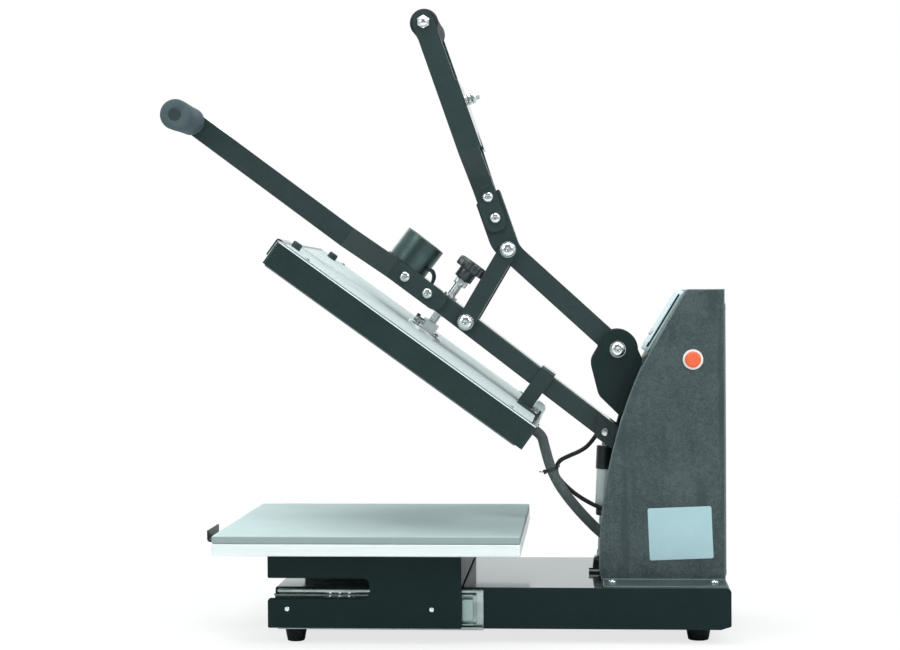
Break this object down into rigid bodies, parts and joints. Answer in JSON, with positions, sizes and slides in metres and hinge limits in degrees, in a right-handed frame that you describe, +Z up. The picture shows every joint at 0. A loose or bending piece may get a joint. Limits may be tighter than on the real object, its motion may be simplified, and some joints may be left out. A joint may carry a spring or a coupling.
{
  "type": "flat heat press",
  "caption": "Swing-open flat heat press: a heated platen on a toggle arm with a lift lever, above a padded bed on a slide-out drawer.",
  "frame": {"origin": "on the floor under the middle of the machine in its open rest pose", "axes": "+Z up, +X from the operator to the rear, +Y to the operator's left"},
  "size_m": [0.6981, 0.381, 0.8012],
  "materials": {
    "dark_powder_coat": "mid charcoal textured powder coat",
    "black_powder_coat": "satin black powder coat",
    "zinc_plate": "bright zinc plating",
    "pale_sheet": "pale plain sheet",
    "chrome_plate": "polished chrome",
    "ball_steel": "polished steel",
    "milled_aluminium": "milled, edges bright",
    "cast_aluminium": "ground lower face",
    "silicone_pad": "matt silicone, pale grey green",
    "black_rubber": "matt",
    "grey_foam": "matt foam sleeve",
    "black_foam": "matt sleeve",
    "black_plastic": "moulded",
    "pale_overlay": "pale printed-free overlay with a dark display window",
    "pale_plastic": "moulded, pale",
    "key_plastic": "moulded keys",
    "red_plastic": "red orange push button",
    "board_green": "circuit board",
    "heater_steel": "tube heater, heat tinted",
    "insulation_wool": "fibre blanket",
    "grey_sleeve": "woven dark grey sleeve",
    "black_cable": "soft jacket",
    "magnet_steel": "dark satin steel"
  },
  "bodies": {
    "frame": {"base_box": "dark_powder_coat", "feet": "black_rubber", "slide_outer_members": "zinc_plate", "column_cover": "dark_powder_coat", "back_panel": "dark_powder_coat", "cover_screws": "zinc_plate", "frame_plates": "black_powder_coat", "frame_ties": "zinc_plate", "pivot_pins": "chrome_plate", "gas_spring_bracket": "black_powder_coat", "control_bezel": "pale_plastic", "display_panel": "pale_overlay", "control_electronics": "board_green", "power_inlet": "black_plastic", "button_ring": "pale_plastic", "heater_conduit": "grey_sleeve", "magnet_cable": "black_cable"},
    "power_rocker": {"power_rocker": "black_plastic"},
    "button_cap": {"button_cap": "red_plastic"},
    "panel_key_left": {"panel_key_left": "key_plastic"},
    "panel_key_middle": {"panel_key_middle": "key_plastic"},
    "panel_key_right": {"panel_key_right": "key_plastic"},
    "drawer": {"bed_plate": "milled_aluminium", "bed_pad": "silicone_pad", "drawer_carriage": "dark_powder_coat", "carriage_screws": "zinc_plate", "slide_inner_members": "zinc_plate", "drawer_pull": "black_powder_coat"},
    "slide_middle": {"slide_middle_members": "zinc_plate", "slide_balls": "ball_steel"},
    "lower_arm": {"arm_tube": "black_powder_coat", "arm_cheeks": "black_powder_coat", "lever_bar": "black_powder_coat", "lever_rod": "zinc_plate", "lever_grip": "grey_foam", "arm_bolts": "zinc_plate", "electromagnet": "magnet_steel", "pressure_nut": "zinc_plate"},
    "platen": {"heat_plate": "cast_aluminium", "heating_element": "heater_steel", "insulation_blanket": "insulation_wool", "platen_cover": "black_powder_coat", "top_sheet": "pale_sheet", "front_guard": "black_powder_coat", "rubber_caps": "black_rubber", "yoke_strap": "black_powder_coat", "platen_fasteners": "zinc_plate", "screw_socket": "zinc_plate", "cable_gland": "black_plastic"},
    "pressure_screw": {"adjusting_screw": "zinc_plate", "star_knob": "black_plastic"},
    "handle": {"knee_plates": "black_powder_coat", "handle_bars": "black_powder_coat", "handle_grip": "black_foam", "handle_bolts": "chrome_plate", "armature": "zinc_plate"},
    "toggle_link": {"toggle_links": "black_powder_coat", "link_foot_bolts": "chrome_plate"},
    "gas_rod": {"gas_spring_rod": "zinc_plate"},
    "gas_cylinder": {"gas_spring_cylinder": "zinc_plate"}
  },
  "joints": [
    {"name": "lower_arm_hinge", "type": "hinge", "parent": "frame", "child": "lower_arm", "pos_m": [0.2561, 0, 0.2044], "axis": [0, -1, 0], "range_deg": [0, 36], "stiffness_Nm_per_rad": 60, "springref_deg": -57.3, "deforming": ["heater_conduit", "magnet_cable"]},
    {"name": "handle_hinge", "type": "hinge", "parent": "frame", "child": "handle", "pos_m": [0.2125, 0, 0.3623], "axis": [0, -1, 0], "range_deg": [0, 70.86]},
    {"name": "toggle_link_hinge", "type": "hinge", "parent": "handle", "child": "toggle_link", "pos_m": [0.07146, 0, 0.49184], "axis": [0, -1, 0], "range_deg": [-101.91, 0]},
    {"name": "gas_rod_hinge", "type": "hinge", "parent": "frame", "child": "gas_rod", "pos_m": [0.1879, 0, 0.0855], "axis": [0, -1, 0], "range_deg": [0, 7.44]},
    {"name": "gas_cylinder_slide", "type": "slide", "parent": "gas_rod", "child": "gas_cylinder", "axis": [-0.049, 0, -0.9988], "range_m": [0, 0.0447]},
    {"name": "platen_slide", "type": "slide", "parent": "lower_arm", "child": "platen", "axis": [0.5878, 0, 0.809], "range_m": [0, 0.006]},
    {"name": "pressure_screw_turn", "type": "hinge", "parent": "platen", "child": "pressure_screw", "pos_m": [-0.02649, 0, 0.40427], "axis": [0.5878, 0, 0.809], "range_deg": [0, 1080]},
    {"name": "drawer_slide", "type": "slide", "parent": "frame", "child": "drawer", "axis": [-1, 0, 0], "range_m": [0, 0.25]},
    {"name": "slide_middle_slide", "type": "slide", "parent": "frame", "child": "slide_middle", "axis": [-1, 0, 0], "range_m": [0, 0.125]},
    {"name": "button_push", "type": "slide", "parent": "frame", "child": "button_cap", "axis": [0, 1, 0], "range_m": [0, 0.003], "stiffness_N_per_m": 600, "springref_m": -0.001},
    {"name": "power_rocker_tilt", "type": "hinge", "parent": "frame", "child": "power_rocker", "pos_m": [0.3441, 0, 0.1485], "axis": [0, 1, 0], "range_deg": [0, 16]},
    {"name": "panel_key_left_push", "type": "slide", "parent": "frame", "child": "panel_key_left", "axis": [0.9115, 0, -0.4112], "range_m": [0, 0.001], "stiffness_N_per_m": 500, "springref_m": -0.0005},
    {"name": "panel_key_middle_push", "type": "slide", "parent": "frame", "child": "panel_key_middle", "axis": [0.9115, 0, -0.4112], "range_m": [0, 0.001], "stiffness_N_per_m": 500, "springref_m": -0.0005},
    {"name": "panel_key_right_push", "type": "slide", "parent": "frame", "child": "panel_key_right", "axis": [0.9115, 0, -0.4112], "range_m": [0, 0.001], "stiffness_N_per_m": 500, "springref_m": -0.0005}
  ],
  "couplings": [
    {"joint": "handle_hinge", "follows": "lower_arm_hinge", "ratio": 1.9682},
    {"joint": "toggle_link_hinge", "follows": "lower_arm_hinge", "ratio": -2.8305},
    {"joint": "gas_rod_hinge", "follows": "lower_arm_hinge", "ratio": 0.20651},
    {"joint": "gas_cylinder_slide", "follows": "lower_arm_hinge", "m_per_rad": 0.07113},
    {"joint": "pressure_screw_turn", "follows": "platen_slide", "rad_per_m": 3141.6},
    {"joint": "slide_middle_slide", "follows": "drawer_slide", "ratio": 0.5}
  ]
}
